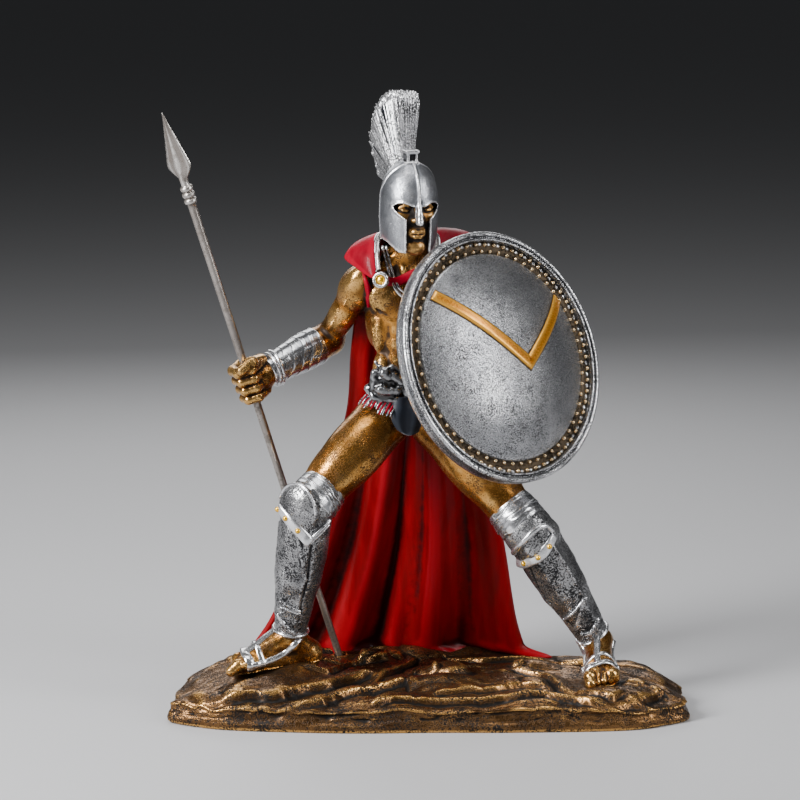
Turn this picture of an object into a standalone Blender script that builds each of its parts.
"""Cast warrior statue: a cloaked figure in greaves and a crested helmet, his rock base, his shield and his spear.

Run with: blender --background --python part.py
Metres, +Z up. The viewer stands at -Y, and the origin is on the underside of the rock base.
Left and right in names are the figure's own.
"""

import math

import bmesh
import bpy
from mathutils import Matrix, Vector, noise

# Driving sizes, in metres.
FIGURE_HEIGHT = 0.238       # from the rock under the feet to the top of the crest
ROCK_HEIGHT = 0.012         # mean height of the rock's top over its underside
ROCK_LENGTH = 0.211
ROCK_DEPTH = 0.092
ROCK_WIDEST = 0.27          # its widest line, as a share of the depth from the front
ROCK_FRONT_SQUARENESS = 3.4
ROCK_BACK_SQUARENESS = 2.35
ROCK_FOOT_HEIGHT = 0.0035   # height of the cut wall round the rock's underside
SHIELD_RADIUS = 0.0515
SHIELD_RIM_WIDTH = 0.0045
SHIELD_RIM_HEIGHT = 0.0062
SHIELD_CHANNEL_WIDTH = 0.0062
SHIELD_THICKNESS = 0.0026
SHIELD_DOME_RISE = 0.0095
CHEVRON_WIDTH = 0.0042
CHEVRON_RISE = 0.0011
SPEAR_LENGTH = 0.249        # from the foot in its socket to the point
SPEAR_FOOT_RADIUS = 0.00145
SPEAR_NECK_RADIUS = 0.00175
SPEAR_SOCKET_DEPTH = 0.005
BLADE_LENGTH = 0.031
BLADE_WIDTH = 0.0108
BLADE_THICKNESS = 0.0036
COLLAR_RADIUS = 0.0026
CLOAK_THICKNESS = 0.0028
FIT_GAP = 0.0003            # left between pieces that touch

# The figure is drawn in millimetres over a rock 12 mm high, at a height of 238 mm, and scaled to FIGURE_HEIGHT.
# The rock's mounds are drawn on a slab 211 by 92 mm, and scaled to its length, depth and height.
DRAWN_HEIGHT = 238.0
DRAWN_ROCK = 12.0
DRAWN_ROCK_LENGTH, DRAWN_ROCK_DEPTH = 211.0, 92.0

# Mesh fineness.
BALL_SEGMENTS, BALL_RINGS = 20, 12
VOXEL = 0.00085
FIGURE_TRIANGLES = 5760
ROCK_SECTORS, ROCK_RINGS = 52, 9
SHIELD_STEPS = 36


def at(x, y, z):
    """A point of the figure's drawing, in metres."""
    scale = FIGURE_HEIGHT / DRAWN_HEIGHT
    return Vector((x * scale, y * scale, (z - DRAWN_ROCK) * scale + ROCK_HEIGHT))


def size(drawn):
    """A length of the figure's drawing, in metres."""
    return drawn * FIGURE_HEIGHT / DRAWN_HEIGHT


# Joints of the figure.
HEAD = at(-7.9, -1, 203)
NECK = at(-7.6, 3, 184)
CHEST = at(-8.6, 4, 162)
PELVIS = at(-7.5, 5, 123)
RIGHT_HIP, LEFT_HIP = at(-15.5, 4, 120), at(1.5, 6, 119)
RIGHT_KNEE, LEFT_KNEE = at(-48.0, -22, 86), at(40.0, -12, 75)
RIGHT_ANKLE, LEFT_ANKLE = at(-54.6, -9, 29), at(69.8, 5, 24)
RIGHT_TOES, LEFT_TOES = at(-75.2, -15.5, 20.6), at(70.6, -16, 15.5)
RIGHT_HEEL, LEFT_HEEL = at(-48.5, -4.5, 22), at(69.8, 9, 18)
RIGHT_SHOULDER, LEFT_SHOULDER = at(-26.2, 4, 173.5), at(10.2, 4, 172.5)
RIGHT_ELBOW, LEFT_ELBOW = at(-40.6, 19, 147.6), at(20.6, -12, 143.8)
RIGHT_FIST, LEFT_FIST = at(-71.6, -4, 133.9), at(41.3, 10.6, 154.0)
RIGHT_WRIST = RIGHT_FIST.lerp(RIGHT_ELBOW, 0.27)
LEFT_WRIST = LEFT_FIST.lerp(LEFT_ELBOW, 0.27)
SPEAR_GROUND = at(-36.4, 20, 13)
SPEAR_LINE = (RIGHT_FIST - SPEAR_GROUND).normalized()

SHIELD_CENTRE = at(27.8, -12, 144.9)
SHIELD_FACING = Vector((0.622, -0.709, 0.332)).normalized()
FACE_TURN = math.radians(18)    # the head turns this far to the viewer's right


def clear_scene():
    for obj in list(bpy.data.objects):
        bpy.data.objects.remove(obj, do_unlink=True)


def new_collection(name, parent):
    made = bpy.data.collections.new(name)
    parent.children.link(made)
    return made


def material(name, colour, metallic, roughness):
    made = bpy.data.materials.new(name)
    made.use_nodes = True
    shader = made.node_tree.nodes["Principled BSDF"]
    shader.inputs["Base Color"].default_value = (*colour, 1.0)
    shader.inputs["Metallic"].default_value = metallic
    shader.inputs["Roughness"].default_value = roughness
    return made


def frame_matrix(origin, up, side=Vector((1, 0, 0))):
    """A matrix at origin whose Z runs along up and whose X lies as near side as it can."""
    z = up.normalized()
    y = z.cross(side).normalized()
    x = y.cross(z)
    return Matrix.Translation(origin) @ Matrix((x, y, z)).transposed().to_4x4()


class Clay:
    """Simple closed forms gathered in one mesh, which a Remesh modifier then makes one skin."""

    def __init__(self):
        self.points, self.faces = [], []

    def gather(self, primitive, place):
        """Adds a small bmesh primitive, moved by the matrix place."""
        first = len(self.points)
        self.points += [place @ v.co for v in primitive.verts]
        self.faces += [[first + v.index for v in face.verts] for face in primitive.faces]
        primitive.free()

    def ball(self, centre, radii, up=Vector((0, 0, 1)), side=Vector((1, 0, 0))):
        """An ellipsoid; radii in drawn millimetres along side, across and along up."""
        sphere = bmesh.new()
        bmesh.ops.create_uvsphere(sphere, u_segments=BALL_SEGMENTS, v_segments=BALL_RINGS, radius=1.0)
        sphere.verts.index_update()
        scale = Matrix.Diagonal((*[size(r) for r in radii], 1.0))
        self.gather(sphere, frame_matrix(centre, up, side) @ scale)

    def rod(self, start, end, start_radius, end_radius, flat=1.0, side=Vector((1, 0, 0))):
        """A tapered rod with flat ends, its radii in metres; flat scales it across side."""
        cone = bmesh.new()
        axis = end - start
        bmesh.ops.create_cone(cone, cap_ends=True, segments=BALL_SEGMENTS, radius1=start_radius,
                              radius2=end_radius, depth=axis.length)
        cone.verts.index_update()
        self.gather(cone, frame_matrix(start.lerp(end, 0.5), axis, side) @ Matrix.Diagonal((1, flat, 1, 1)))

    def bone(self, start, end, start_radius, end_radius, flat=1.0, side=Vector((1, 0, 0))):
        """A tapered rod with round ends, its radii in drawn millimetres."""
        axis = end - start
        for point, radius in ((start, start_radius), (end, end_radius)):
            self.ball(point, (radius, radius * flat, radius), axis, side)
        self.rod(start, end, size(start_radius), size(end_radius), flat, side)

    def chain(self, points, radii, flat=1.0, side=Vector((1, 0, 0))):
        for i in range(len(points) - 1):
            self.bone(points[i], points[i + 1], radii[i], radii[i + 1], flat, side)

    def loft(self, rings):
        """Joins closed rings of equal count into a skin with filled ends."""
        first, count = len(self.points), len(rings[0])
        self.points += [p for ring in rings for p in ring]
        for row in range(len(rings) - 1):
            here = first + row * count
            for i in range(count):
                j = (i + 1) % count
                self.faces.append([here + i, here + j, here + count + j, here + count + i])
        last = first + (len(rings) - 1) * count
        self.faces.append(list(range(first + count - 1, first - 1, -1)))
        self.faces.append(list(range(last, last + count)))

    def finish(self, name, collection, finish_material):
        data = bpy.data.meshes.new(name)
        data.from_pydata(self.points, [], self.faces)
        outward = bmesh.new()
        outward.from_mesh(data)
        bmesh.ops.recalc_face_normals(outward, faces=outward.faces)
        bmesh.ops.triangulate(outward, faces=outward.faces, quad_method="FIXED")
        outward.to_mesh(data)
        outward.free()
        data.materials.append(finish_material)
        obj = bpy.data.objects.new(name, data)
        collection.objects.link(obj)
        return obj


def blend(values, share):
    """Reads an even row of values at a share of its length, smoothly."""
    place = min(max(share, 0.0), 1.0) * (len(values) - 1)
    i = min(int(place), len(values) - 2)
    t = place - i
    before, after = values[max(i - 1, 0)], values[min(i + 2, len(values) - 1)]
    slope0, slope1 = (values[i + 1] - before) / 2, (after - values[i]) / 2
    return ((2 * t**3 - 3 * t**2 + 1) * values[i] + (t**3 - 2 * t**2 + t) * slope0
            + (3 * t**2 - 2 * t**3) * values[i + 1] + (t**3 - t**2) * slope1)


# Torso, neck and hips.
def add_torso(clay):
    clay.ball(CHEST, (15.2, 10.4, 18))
    clay.ball(CHEST + at(0, 2, 12) - at(0, 0, 2), (17.5, 8.5, 9))
    clay.bone(CHEST, PELVIS, 11.5, 12.0, flat=0.82)
    clay.bone(NECK + at(0, 1, 0) - at(0, 0, 6), HEAD, 6.4, 6.6)
    for hand in (-1, 1):
        shoulder = RIGHT_SHOULDER if hand < 0 else LEFT_SHOULDER
        clay.bone(NECK.lerp(HEAD, 0.15), shoulder, 4.2, 6.0)
        clay.ball(CHEST + part(hand * 7.2, -6.2, 5.5), (7.8, 4.4, 6.4))
        clay.ball(CHEST + part(hand * 12.5, 3.5, -3), (4.6, 7.5, 13))
        for row, depth in ((-7.5, -6.4), (-14, -6.2), (-21, -5.6)):
            clay.ball(CHEST + part(hand * 3.6, depth, row), (3.6, 2.6, 3.4))
        clay.ball(PELVIS + part(hand * 7, 6.5, -3), (8, 7, 8.5))
    clay.ball(PELVIS, (14.2, 10.5, 10))


def part(x, y, z):
    """An offset of the figure's drawing, in metres."""
    return Vector((size(x), size(y), size(z)))


# Arms and hands.
def add_arms(clay):
    for shoulder, elbow, wrist in ((RIGHT_SHOULDER, RIGHT_ELBOW, RIGHT_WRIST), (LEFT_SHOULDER, LEFT_ELBOW, LEFT_WRIST)):
        clay.ball(shoulder.lerp(elbow, 0.12), (8.0, 8.0, 10), elbow - shoulder)
        clay.bone(shoulder, elbow, 7.2, 5.9)
        clay.ball(shoulder.lerp(elbow, 0.55) + part(0, -1.6, 0.5), (6.0, 6.2, 10), elbow - shoulder)
        clay.bone(elbow, wrist, 7.4, 6.0)
        clay.ball(elbow.lerp(wrist, 0.3), (8.0, 7.6, 11), wrist - elbow)
        clay.bone(wrist.lerp(elbow, 0.14), wrist, 6.6, 6.3)


def add_fist(clay, fist, wrist, grip):
    """A closed hand round a bar along grip, with its wrist to one side."""
    inward = (wrist - fist).normalized()
    inward = (inward - grip * inward.dot(grip)).normalized()
    front = grip.cross(inward)
    clay.bone(wrist, fist + inward * size(5), 5.6, 5.8)
    clay.ball(fist + inward * size(4.6), (5.4, 4.8, 8.6), grip, inward)
    for finger in range(4):
        level = fist + grip * size(6.1 - 4.1 * finger)
        turns = [math.radians(a) for a in (-55, 0, 60, 120, 180, 235)]
        reach = size(5.0 - 0.35 * finger)
        points = [level + (inward * math.cos(a) * -1.0 + front * math.sin(a) * -1.0) * reach
                  for a in (t - math.radians(90) for t in turns)]
        clay.chain(points, [2.35 - 0.12 * finger] * len(points))
    thumb = [fist + inward * size(7) + grip * size(6), fist - front * size(4.5) + grip * size(8.6),
             fist - inward * size(4.5) - front * size(4.0) + grip * size(7.8)]
    clay.chain(thumb, [2.9, 2.6, 2.2])


# Legs, greaves, wraps and sandalled feet.
def add_leg(clay, hip, knee, ankle):
    thigh, shin = knee - hip, ankle - knee
    clay.bone(hip, knee, 12.6, 8.8)
    clay.ball(hip.lerp(knee, 0.42) + part(0, -2.6, 1.0), (12.0, 10.6, 22), thigh)
    clay.ball(hip.lerp(knee, 0.86), (9.6, 9.4, 9), thigh)
    clay.bone(knee, knee.lerp(ankle, 0.5), 10.8, 9.8)
    clay.bone(knee.lerp(ankle, 0.5), knee.lerp(ankle, 0.93), 9.4, 6.9)
    clay.ball(knee.lerp(ankle, 0.30) + part(0, 3.2, 0), (10.4, 9.6, 17), shin)
    clay.bone(knee.lerp(ankle, -0.10), knee.lerp(ankle, 0.02), 10.0, 11.2)
    clay.bone(knee.lerp(ankle, 0.80), knee.lerp(ankle, 0.86), 8.3, 8.0)


def add_knee_plate(clay, centre, outward, shin):
    """The raised cop on the front of a greave and the riveted band across it."""
    across = shin.cross(outward).normalized()
    clay.ball(centre + outward * size(6.2), (9.8, 4.8, 11.0), shin, across)
    band = centre + outward * size(8.2) + shin.normalized() * size(5.0)
    clay.bone(band - across * size(8.5) - outward * size(1.5), band + across * size(8.5) - outward * size(1.5), 2.6, 2.6)


def add_foot(clay, ankle, heel, toes, big_toe_side):
    forward = (toes - heel).normalized()
    side = forward.cross(Vector((0, 0, 1))).normalized() * big_toe_side
    clay.bone(ankle, heel, 6.6, 5.0)
    clay.bone(ankle + forward * size(1.5), toes - forward * size(3.5) + part(0, 0, 1.6), 6.2, 4.2)
    clay.chain([heel, toes + side * size(3.2)], [4.8, 3.9])
    clay.chain([heel, toes - side * size(3.6)], [4.8, 3.4])
    for toe in range(5):
        root = toes + side * size(5.4 - 2.75 * toe) - forward * size(0.8 * toe)
        radius = 2.5 if toe == 0 else 1.95 - 0.12 * toe
        length = 6.4 if toe == 0 else 5.6 - 0.35 * toe
        clay.chain([root, root + forward * size(length * 0.55) + part(0, 0, 0.5),
                    root + forward * size(length) + part(0, 0, -1.4)], [radius, radius, radius * 0.9])


# Helmet and crest.
def head_place(side, depth, height):
    """A point by the head: side to its left, depth out of its face, height over its centre."""
    return HEAD + Matrix.Rotation(FACE_TURN, 3, "Z") @ part(side, -depth, height)


def head_axis(side, depth, height):
    return (head_place(side, depth, height) - HEAD).normalized()


# The helmet's sections from crown to cheek guards: height, half width, reach to the front and to the back.
HELMET_SECTIONS = ((18.2, 1.6, 2.0, 2.0), (17.0, 4.9, 5.6, 5.8), (14.2, 7.8, 8.9, 9.4), (9.5, 10.0, 11.7, 12.2),
                   (3.0, 11.2, 13.2, 13.4), (-4.0, 11.3, 13.6, 13.0), (-11.0, 10.7, 13.4, 11.8), (-18.5, 9.4, 12.6, 10.2))
HELMET_SIDES = 28


def helmet_section(height, half_width, front, back):
    """One ring of the helmet, drawn to a soft edge down the middle of its front."""
    ring = []
    for i in range(HELMET_SIDES):
        turn = 2 * math.pi * i / HELMET_SIDES
        c, s = math.cos(turn), math.sin(turn)
        keel = 1 + 0.07 * max(0.0, s) ** 12
        ring.append(head_place(c * half_width, s * (front if s > 0 else back) * keel, height))
    return ring


def add_helmet(clay):
    clay.loft([helmet_section(*section) for section in HELMET_SECTIONS])
    clay.chain([head_place(0, 12.4, 11), head_place(0, 14.4, 3), head_place(0, 15.6, -5.5)], [1.4, 1.5, 1.7])
    clay.ball(head_place(0, 4.5, -12), (7.2, 8.4, 10.0))


def add_crest(clay):
    """A brush of hair that stands on the helmet's crown and runs down its back."""
    columns = 9
    rings = []
    for i in range(columns + 1):
        share = i / columns
        turn = math.radians(blend((92, 72, 52, 36, 18), share))
        root = blend((14.6, 14.8, 14.2, 13.4, 12.0), share)
        tip = blend((43.4, 47.0, 45.6, 39.5, 26.0), share)
        wide_root = blend((2.2, 2.6, 2.8, 2.8, 2.2), share)
        wide_tip = blend((3.9, 4.6, 5.6, 6.0, 4.4), share)
        ring = []
        for reach, wide in ((root, -wide_root), (0.5 * (root + tip), -0.5 * (wide_root + wide_tip)), (tip, -wide_tip),
                            (tip, wide_tip), (0.5 * (root + tip), 0.5 * (wide_root + wide_tip)), (root, wide_root)):
            ring.append(head_place(wide, -math.cos(turn) * reach, 2 + math.sin(turn) * reach))
        rings.append(ring)
    clay.loft(rings)
    socket = head_place(0, 3.0, 16.4)
    clay.bone(socket, socket + head_axis(0, -0.05, 1) * size(4.5), 2.8, 2.6)


# Cloak, belt and trimmings.
CLOAK_ROWS = 26
CLOAK_COLUMNS = 40


def cloak_point(across, down):
    """A point of the cloak's middle layer, from its right edge to its left and from the neck to the hem."""
    left_edge = blend((-25, -28.5, -31.5, -33.5, -42, -52, -66, -78), down)
    right_edge = blend((12, 14.5, 16.5, 20, 29, 35.5, 39.5, 51), down)
    left_depth = blend((6, 11, 16, 20, 22, 23, 22, 22), down)
    right_depth = blend((6, 11, 16, 22, 26, 31, 33, 33), down)
    edge_depth = left_depth + (right_depth - left_depth) * across
    middle_depth = blend((13.5, 16.5, 18, 21, 26, 32, 35.5, 38.5), down)
    height = blend((186, 166, 142, 117, 88, 58, 28, 11.5), down)
    x = left_edge + (right_edge - left_edge) * across
    arch = 1 - (2 * across - 1) ** 2
    y = edge_depth + (middle_depth - edge_depth) * arch
    fold = blend((0.3, 0.6, 1.0, 1.7, 2.6, 3.4, 3.9, 3.6), down)
    wave = math.sin(2 * math.pi * (4.6 * across + 0.18 * math.sin(5.3 * across) + 0.12) + 0.9 * down)
    wave += 0.45 * math.sin(2 * math.pi * 8.3 * across + 1.3)
    return at(x, y + fold * wave * (0.55 + 0.45 * arch), height)


def add_cloak(clay):
    rings = []
    for row in range(CLOAK_ROWS + 1):
        down = row / CLOAK_ROWS
        middle = [cloak_point(c / CLOAK_COLUMNS, down) for c in range(CLOAK_COLUMNS + 1)]
        half = Vector((0, CLOAK_THICKNESS / 2, 0))
        rings.append([p - half for p in middle] + [p + half for p in reversed(middle)])
    clay.loft(rings)


def add_collar(clay):
    """The cloak's turned-down neck: a pointed flap over each shoulder, pinned on the right breast."""
    nape = NECK + part(0, 9.5, 3.5)
    brooch = at(-18.6, -8.4, 175.6)
    for neck, tip, front in ((at(-17.4, 3, 188.6), at(-30.6, 5.5, 181), brooch),
                             (at(4.5, 3, 189), at(17.5, 6, 184.5), at(7, -6.5, 177))):
        clay.chain([nape, neck, tip], [3.2, 2.8, 1.5])
        clay.chain([tip, front, neck], [1.5, 2.4, 2.8])
        middle = neck.lerp(tip, 0.45)
        clay.chain([middle, middle.lerp(front, 0.55)], [2.9, 2.9])
        clay.chain([tip, tip + part(0, 4, -12)], [2.2, 2.2])
    clay.chain([brooch, at(-8, -9.4, 173.5), at(6, -7.5, 176.5)], [2.4, 2.2, 2.2])
    clay.ball(brooch + part(0, -1.4, 0), (3.5, 2.2, 3.7))


def add_belt(clay):
    waist = at(-8.6, 4.5, 131.5)
    steps = 24
    ring = []
    for i in range(steps + 1):
        turn = 2 * math.pi * i / steps
        ring.append(waist + part(12.3 * math.cos(turn), 9.8 * math.sin(turn), -1.2 * math.cos(turn)))
    clay.chain(ring, [2.5] * (steps + 1))
    clay.ball(at(-17.0, -8.2, 134.2), (7.6, 5.0, 7.4))
    clay.ball(PELVIS + part(1, -0.5, -1.5), (14.6, 11.4, 9.5))
    clay.bone(at(-7.0, -7, 126), at(-5.2, -5.4, 112.5), 6.2, 3.4, flat=0.6)


def build_figure(collection, bronze):
    clay = Clay()
    add_torso(clay)
    add_arms(clay)
    add_fist(clay, RIGHT_FIST, RIGHT_WRIST, SPEAR_LINE)
    add_fist(clay, LEFT_FIST, LEFT_WRIST, SHIELD_FACING.cross(LEFT_WRIST - LEFT_FIST).normalized())
    for hip, knee, ankle, outward in ((RIGHT_HIP, RIGHT_KNEE, RIGHT_ANKLE, Vector((-0.62, -0.78, 0))),
                                      (LEFT_HIP, LEFT_KNEE, LEFT_ANKLE, Vector((0.42, -0.85, 0.3)))):
        add_leg(clay, hip, knee, ankle)
        add_knee_plate(clay, knee, outward.normalized(), ankle - knee)
    add_foot(clay, RIGHT_ANKLE, RIGHT_HEEL, RIGHT_TOES, -1)
    add_foot(clay, LEFT_ANKLE, LEFT_HEEL, LEFT_TOES, 1)
    add_helmet(clay)
    add_crest(clay)
    add_cloak(clay)
    add_collar(clay)
    add_belt(clay)
    return clay.finish("warrior", collection, bronze)


def build_face_opening(collection, finish_material):
    """Cutter for the helmet's two eyes and the slot before the mouth."""
    clay = Clay()
    for hand in (-1, 1):
        out = head_axis(hand * 0.42, 1, 0)
        clay.ball(head_place(hand * 5.2, 14.0, 0.6), (3.2, 2.6, 1.9), head_axis(hand * 0.25, 0, 1), out)
    clay.loft([[head_place(side, depth, height) for side, depth, height in (
        (-wide, 9.5, low), (wide, 9.5, low), (wide, 22, low), (-wide, 22, low))]
        for wide, low in ((4.6, -22), (3.3, -4.5))])
    return as_cutter(clay.finish("face_opening", collection, finish_material))


def as_cutter(obj):
    obj.hide_render = True
    obj.display_type = "WIRE"
    return obj


# Rock base.
def rock_outline(turn):
    """The rock's outline: nearly straight along the front, round at the back, with a worn edge."""
    c, s = math.cos(turn), math.sin(turn)
    squareness = ROCK_BACK_SQUARENESS if s > 0 else ROCK_FRONT_SQUARENESS
    reach = (abs(c) ** squareness + abs(s) ** squareness) ** (-1 / squareness)
    widest = ROCK_DEPTH * (ROCK_WIDEST - 0.5)
    deep = ROCK_DEPTH * ((1 - ROCK_WIDEST) if s > 0 else ROCK_WIDEST)
    wear = 1 + 0.018 * math.sin(3 * turn + 0.7) + 0.014 * math.sin(7 * turn + 2.1) + 0.008 * math.sin(13 * turn)
    wear = min(wear, 1.0 / max(reach * abs(c), 0.92))
    return Vector((c * reach * wear * ROCK_LENGTH / 2, s * reach * wear * deep + widest, 0))


def hump(x, y, centre_x, centre_y, wide, deep, high):
    """A smooth mound, in millimetres."""
    far = ((x - centre_x) / wide) ** 2 + ((y - centre_y) / deep) ** 2
    return high * math.exp(-far)


def ground(x, y):
    """Height of the rock's surface over the underside at a point, in metres."""
    x, y = x * DRAWN_ROCK_LENGTH / ROCK_LENGTH, y * DRAWN_ROCK_DEPTH / ROCK_DEPTH
    top = hump(x, y, -60, -6, 26, 20, 6.0) + hump(x, y, -22, 24, 26, 16, 2.6) + hump(x, y, 70, -2, 24, 20, 1.6)
    top += hump(x, y, 8, -12, 15, 9, 3.0) + hump(x, y, 44, 6, 13, 8, 2.2) - hump(x, y, 100, -20, 26, 40, 2.0)
    top -= hump(x, y, -106, -10, 20, 40, 2.5)
    rough = noise.noise(Vector((x / 19, y / 13, 3.7))) * 2.2 + noise.noise(Vector((x / 8, y / 6, 9.1))) * 1.0
    return ROCK_HEIGHT * (1 + (top + rough) / DRAWN_ROCK)


def rock_rings(rise):
    """Rings of points from the middle of the underside, round the edge, to the middle of the top, raised by rise."""
    turns = [2 * math.pi * i / ROCK_SECTORS for i in range(ROCK_SECTORS)]
    edge = [rock_outline(t) for t in turns]
    wider = [p + p.normalized() * rise for p in edge]
    rings = [[p * 0.30 for p in edge], [p * 0.985 for p in wider]]
    rings.append([p + Vector((0, 0, ROCK_FOOT_HEIGHT)) for p in wider])
    for i in range(ROCK_RINGS + 1):
        share = 0.975 - 0.94 * (i / ROCK_RINGS) ** 0.9
        shoulder = 1 - 0.30 * max(0.0, (share - 0.80) / 0.175) ** 2
        spots = [p * share for p in edge]
        rings.append([Vector((p.x, p.y, ground(p.x, p.y) * shoulder + rise)) for p in spots])
    for ring in rings[:2]:
        for p in ring:
            p.z -= rise
    return rings


def build_rock(collection, stone):
    clay = Clay()
    clay.loft(rock_rings(0.0))
    return clay.finish("rock_base", collection, stone)


def build_rock_cutter(collection, stone):
    """The rock raised by the fit gap, which trims the feet and the cloak's hem to its surface."""
    clay = Clay()
    clay.loft(rock_rings(FIT_GAP))
    return as_cutter(clay.finish("rock_cutter", collection, stone))


# Shield.
def shield_profile(grow):
    """Half section of the shield, top to bottom on its outer side, each surface moved out by grow."""
    rim = SHIELD_RADIUS
    rim_in = rim - SHIELD_RIM_WIDTH
    dome = rim_in - SHIELD_CHANNEL_WIDTH
    half = SHIELD_RIM_HEIGHT / 2
    floor = half - SHIELD_RIM_HEIGHT * 0.42
    top = SHIELD_DOME_RISE + floor
    points = [(0.0, top + grow)]
    for share in (0.3, 0.55, 0.75, 0.9, 1.0):
        points.append((dome * share, floor + SHIELD_DOME_RISE * (1 - share**2.4) + 0.0006 + grow))
    points += [(dome + 0.0006, floor + grow), (rim_in - 0.0003, floor + grow), (rim_in + 0.0006, half - 0.0006 + grow),
               (rim - 0.0020, half + grow), (rim + grow, half - 0.0016), (rim + grow, -half + 0.0010),
               (rim - 0.0018, -half - grow), (rim_in, -half + 0.0002 - grow)]
    for share in (1.0, 0.8, 0.5, 0.0):
        points.append((dome * share, floor + SHIELD_DOME_RISE * (1 - share**2.4) - SHIELD_THICKNESS - grow))
    return points


def build_shield_body(name, grow, collection, finish_material):
    data = bpy.data.meshes.new(name)
    points = [(r, 0.0, z) for r, z in shield_profile(grow)]
    data.from_pydata(points, [(i, i + 1) for i in range(len(points) - 1)], [])
    obj = bpy.data.objects.new(name, data)
    collection.objects.link(obj)
    data.materials.append(finish_material)
    screw = obj.modifiers.new("Turn", "SCREW")
    screw.steps = screw.render_steps = SHIELD_STEPS
    screw.use_merge_vertices = True
    screw.merge_threshold = 0.00005
    obj.matrix_world = frame_matrix(SHIELD_CENTRE, SHIELD_FACING, Vector((0.752, 0.659, 0)))
    return obj


def dome_height(radius):
    dome = SHIELD_RADIUS - SHIELD_RIM_WIDTH - SHIELD_CHANNEL_WIDTH
    floor = SHIELD_RIM_HEIGHT * 0.08
    return floor + SHIELD_DOME_RISE * (1 - min(radius / dome, 1.0) ** 2.4)


def build_chevron(collection, gold):
    """The raised band bent to a point, sunk into the dome that carries it."""
    dome = SHIELD_RADIUS - SHIELD_RIM_WIDTH - SHIELD_CHANNEL_WIDTH
    apex = Vector((0.125 * dome, -0.20 * dome))
    ends = (Vector((-0.70 * dome, 0.66 * dome)), Vector((0.83 * dome, 0.50 * dome)))
    steps = 8
    middle = [ends[0].lerp(apex, i / steps) for i in range(steps)] + [apex.lerp(ends[1], i / steps) for i in range(steps + 1)]
    half = CHEVRON_WIDTH / 2
    lefts = [(apex - ends[0]).normalized().orthogonal(), (ends[1] - apex).normalized().orthogonal()]
    mitre = (lefts[0] + lefts[1]).normalized()
    mitre *= 1 / mitre.dot(lefts[0])
    rings = []
    for i, point in enumerate(middle):
        across = mitre if i == steps else lefts[0] if i < steps else lefts[1]
        ring = []
        for side, rise in ((1, -0.0016), (-1, -0.0016), (-1, CHEVRON_RISE * 0.5), (-0.4, CHEVRON_RISE),
                           (0.4, CHEVRON_RISE), (1, CHEVRON_RISE * 0.5)):
            spot = point + across * half * side
            ring.append(Vector((spot.x, spot.y, dome_height(spot.length) + 0.0006 + rise)))
        rings.append(ring)
    clay = Clay()
    clay.loft(rings)
    band = as_cutter(clay.finish("chevron", collection, gold))
    band.matrix_world = frame_matrix(SHIELD_CENTRE, SHIELD_FACING, Vector((0.752, 0.659, 0)))
    return band


# Spear.
def spear_matrix():
    foot = SPEAR_GROUND - SPEAR_LINE * SPEAR_SOCKET_DEPTH
    return frame_matrix(foot, SPEAR_LINE, Vector((0.9, -0.43, 0)))


def build_spear(collection, steel):
    clay = Clay()
    neck = SPEAR_LENGTH - BLADE_LENGTH
    collars = [neck - 0.0009 - 0.0026 * i for i in range(3)]
    profile = [(SPEAR_FOOT_RADIUS, 0.0)]
    for low in reversed(collars):
        radius = SPEAR_NECK_RADIUS
        profile += [(radius, low - 0.0011), (COLLAR_RADIUS, low - 0.0006), (COLLAR_RADIUS, low + 0.0006),
                    (radius, low + 0.0011)]
    sides = 12
    turns = [2 * math.pi * i / sides for i in range(sides)]
    rings = [[Vector((r * math.cos(t), r * math.sin(t), z)) for t in turns] for r, z in profile]
    blade = ((0.05, 0.34, 0.95), (0.14, 0.55, 1.0), (0.24, 1.0, 0.95), (0.30, 0.98, 0.9), (0.6, 0.54, 0.6), (0.985, 0.04, 0.1))
    for share, wide, thick in blade:
        ring = []
        for turn in turns:
            c, s = math.cos(turn), math.sin(turn)
            diamond = 1 / (abs(c) + abs(s))
            ring.append(Vector((c * diamond * wide * BLADE_WIDTH / 2, s * diamond * thick * BLADE_THICKNESS / 2,
                                neck + share * BLADE_LENGTH)))
        rings.append(ring)
    clay.loft(rings)
    obj = clay.finish("spear", collection, steel)
    obj.matrix_world = spear_matrix()
    return obj


def build_spear_cutter(collection, steel):
    """A rod a little wider than the shaft, which bores the fist and the rock's socket."""
    length = SPEAR_LENGTH - BLADE_LENGTH * 1.4 + FIT_GAP
    foot = SPEAR_GROUND - SPEAR_LINE * (SPEAR_SOCKET_DEPTH + FIT_GAP)
    clay = Clay()
    clay.rod(foot, foot + SPEAR_LINE * length, SPEAR_FOOT_RADIUS + FIT_GAP, SPEAR_NECK_RADIUS + FIT_GAP)
    return as_cutter(clay.finish("spear_cutter", collection, steel))


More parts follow.
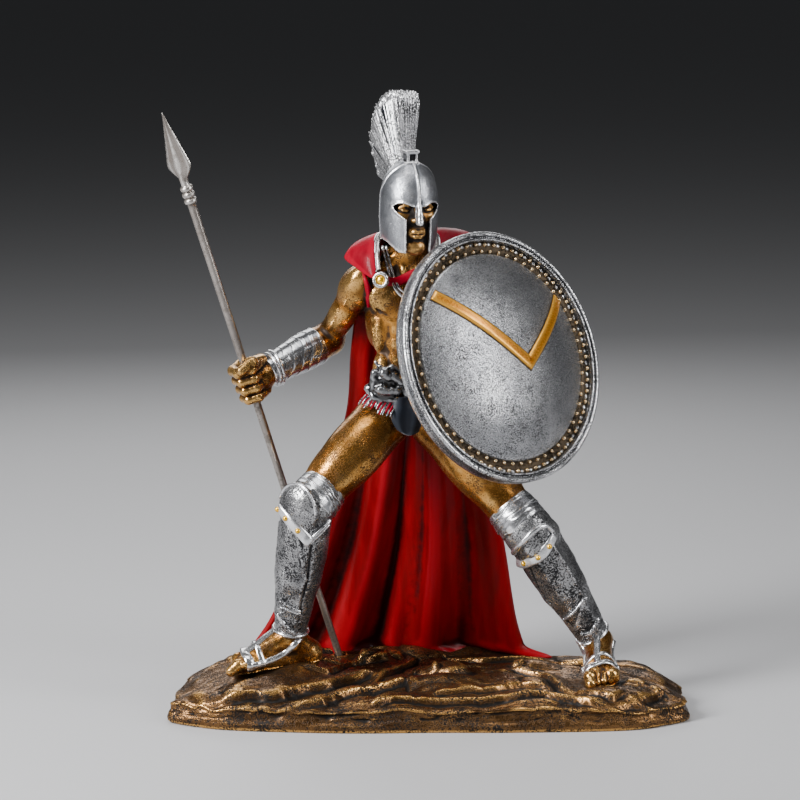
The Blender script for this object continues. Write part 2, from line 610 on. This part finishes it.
def add_boolean(obj, tool, operation, name):
    modifier = obj.modifiers.new(name, "BOOLEAN")
    modifier.object = tool
    modifier.operation = operation
    modifier.solver = "EXACT"


def make_one_skin(obj):
    """Melts the gathered forms into one skin and thins it to the figure's triangles."""
    skin = obj.modifiers.new("One skin", "REMESH")
    skin.mode = "VOXEL"
    skin.voxel_size = VOXEL
    soften = obj.modifiers.new("Soften", "SMOOTH")
    soften.factor = 0.5
    soften.iterations = 3
    bpy.context.view_layer.update()
    graph = bpy.context.evaluated_depsgraph_get()
    faces = len(obj.evaluated_get(graph).data.polygons)
    thin = obj.modifiers.new("Thin", "DECIMATE")
    thin.ratio = min(1.0, FIGURE_TRIANGLES / (2 * faces))
    thin.use_collapse_triangulate = True


def main():
    clear_scene()
    root = bpy.context.scene.collection
    statue = new_collection("warrior statue", root)
    tools = new_collection("cutters", root)
    bronze = material("aged bronze paint", (0.30, 0.17, 0.06), 0.85, 0.38)
    stone = material("bronzed rock", (0.22, 0.13, 0.06), 0.8, 0.42)
    silver = material("antique silver paint", (0.42, 0.43, 0.45), 0.9, 0.36)
    steel = material("steel rod", (0.40, 0.36, 0.34), 0.9, 0.35)
    gold = material("gold paint", (0.70, 0.38, 0.06), 0.9, 0.3)

    rock = build_rock(statue, stone)
    shield = build_shield_body("shield", 0.0, statue, silver)
    build_spear(statue, steel)
    warrior = build_figure(statue, bronze)
    make_one_skin(warrior)

    rock_cutter = build_rock_cutter(tools, stone)
    shield_cutter = as_cutter(build_shield_body("shield_cutter", FIT_GAP, tools, silver))
    spear_cutter = build_spear_cutter(tools, steel)
    add_boolean(shield, build_chevron(tools, gold), "UNION", "Chevron")
    add_boolean(warrior, build_face_opening(tools, bronze), "DIFFERENCE", "Face opening")
    add_boolean(warrior, rock_cutter, "DIFFERENCE", "Trim to rock")
    add_boolean(warrior, shield_cutter, "DIFFERENCE", "Clear the shield")
    add_boolean(warrior, spear_cutter, "DIFFERENCE", "Spear bore")
    add_boolean(rock, spear_cutter, "DIFFERENCE", "Spear socket")


main()
